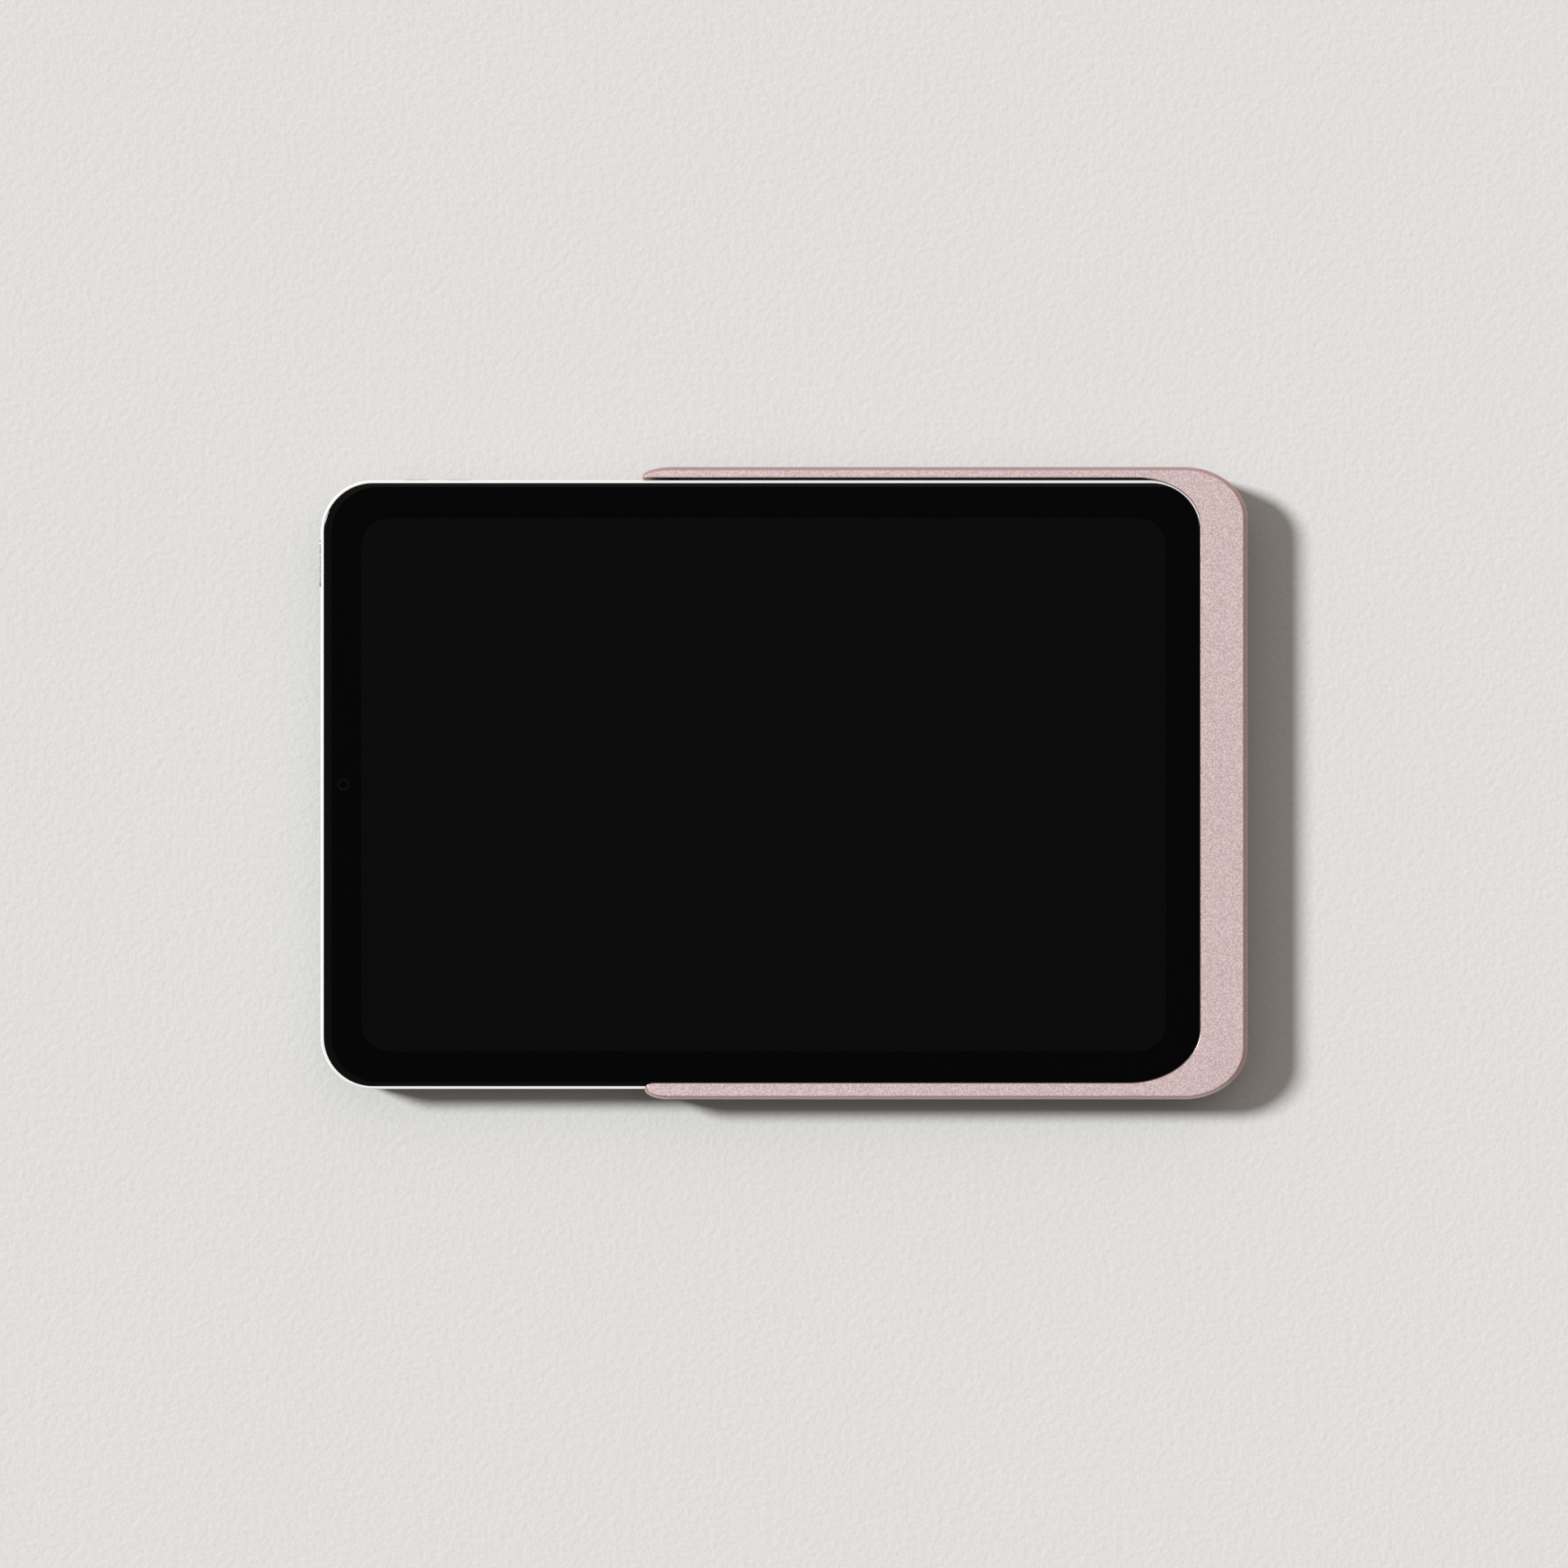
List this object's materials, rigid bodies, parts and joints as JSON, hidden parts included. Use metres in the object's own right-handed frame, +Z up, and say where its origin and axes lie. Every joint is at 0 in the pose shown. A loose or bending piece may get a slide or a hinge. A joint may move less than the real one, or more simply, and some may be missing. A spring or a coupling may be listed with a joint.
{
  "type": "tablet computer in a slide-on sleeve",
  "caption": "Small tablet computer lying screen up, slid into a metal sleeve that wraps its sides and one end; it slides out of the sleeve and its buttons press in.",
  "frame": {"origin": "below the middle of the whole object, on the surface that the sleeve's pads stand on", "axes": "+X along the tablet's long side towards the sleeve's closed end, +Y across it towards the volume buttons' side, +Z up out of the screen"},
  "size_m": [0.2056, 0.14, 0.011],
  "materials": {
    "tablet_aluminium": "bead-blasted, silver anodised",
    "cover_glass": "polished, printed black on its inner face",
    "seal": "soft",
    "display": "dark, switched off",
    "sheet_steel": "fine rolled",
    "flex_circuit": "satin polyimide",
    "black_moulding": "fine matt",
    "camera_ring": "turned and anodised",
    "camera_glass": "polished and coated",
    "flash_lens": "frosted",
    "circuit_board": "solder mask",
    "chip": "moulded",
    "battery_foil": "pouch foil",
    "adhesive": "tape",
    "speaker_cone": "matt",
    "mesh": "woven, dark",
    "magnet": "nickel plated",
    "copper": "wound wire",
    "gold_contact": "gold plated",
    "sleeve_aluminium": "bead-blasted, rose anodised",
    "screw_steel": "plated",
    "liner": "moulded silicone, matt",
    "pad_rubber": "silicone"
  },
  "bodies": {
    "sleeve": {"sleeve_shell": "sleeve_aluminium", "sleeve_cover": "sleeve_aluminium", "cover_screws": "screw_steel", "floor_liner": "liner", "rail_liners": "liner", "usb_plug": "sheet_steel", "plug_carrier": "black_moulding", "charge_board": "circuit_board", "charge_flex": "flex_circuit", "dock_insert": "black_moulding", "dock_contacts": "gold_contact", "dock_ring": "sheet_steel", "dock_magnets": "magnet", "rear_pads": "pad_rubber"},
    "tablet": {"rear_housing": "tablet_aluminium", "cover_glass": "cover_glass", "glass_gasket": "seal", "display_panel": "display", "display_shield": "sheet_steel", "display_flex": "flex_circuit", "front_camera": "black_moulding", "light_sensor": "black_moulding", "sensor_flex": "flex_circuit", "camera_ring": "camera_ring", "camera_window": "camera_glass", "camera_module": "black_moulding", "flash_lens": "flash_lens", "flash_board": "circuit_board", "microphones": "sheet_steel", "battery_cell_a": "battery_foil", "battery_cell_b": "battery_foil", "battery_board": "circuit_board", "battery_adhesive": "adhesive", "logic_board": "circuit_board", "board_chips": "chip", "shield_cans": "sheet_steel", "board_screws": "screw_steel", "speaker_nw": "black_moulding", "speaker_sw": "black_moulding", "speaker_ne": "black_moulding", "speaker_se": "black_moulding", "speaker_cones": "speaker_cone", "speaker_meshes": "mesh", "usb_socket": "sheet_steel", "socket_flex": "flex_circuit", "power_switch": "black_moulding", "volume_switches": "black_moulding", "wifi_antennas": "copper", "cover_magnets": "magnet", "stylus_coil": "copper"},
    "power_button": {"power_button": "tablet_aluminium"},
    "volume_up_button": {"volume_up_button": "tablet_aluminium"},
    "volume_down_button": {"volume_down_button": "tablet_aluminium"},
    "camera_lens": {"camera_lens": "black_moulding"}
  },
  "joints": [
    {"name": "tablet_slide", "type": "slide", "parent": "sleeve", "child": "tablet", "axis": [-1, 0, 0], "range_m": [0, 0.13]},
    {"name": "power_press", "type": "slide", "parent": "tablet", "child": "power_button", "axis": [1, 0, 0], "range_m": [0, 0.00025], "stiffness_N_per_m": 4000},
    {"name": "volume_up_press", "type": "slide", "parent": "tablet", "child": "volume_up_button", "axis": [0, -1, 0], "range_m": [0, 0.00025], "stiffness_N_per_m": 4000},
    {"name": "volume_down_press", "type": "slide", "parent": "tablet", "child": "volume_down_button", "axis": [0, -1, 0], "range_m": [0, 0.00025], "stiffness_N_per_m": 4000},
    {"name": "camera_focus", "type": "slide", "parent": "tablet", "child": "camera_lens", "axis": [0, 0, -1], "range_m": [0, 0.00025], "stiffness_N_per_m": 200}
  ]
}
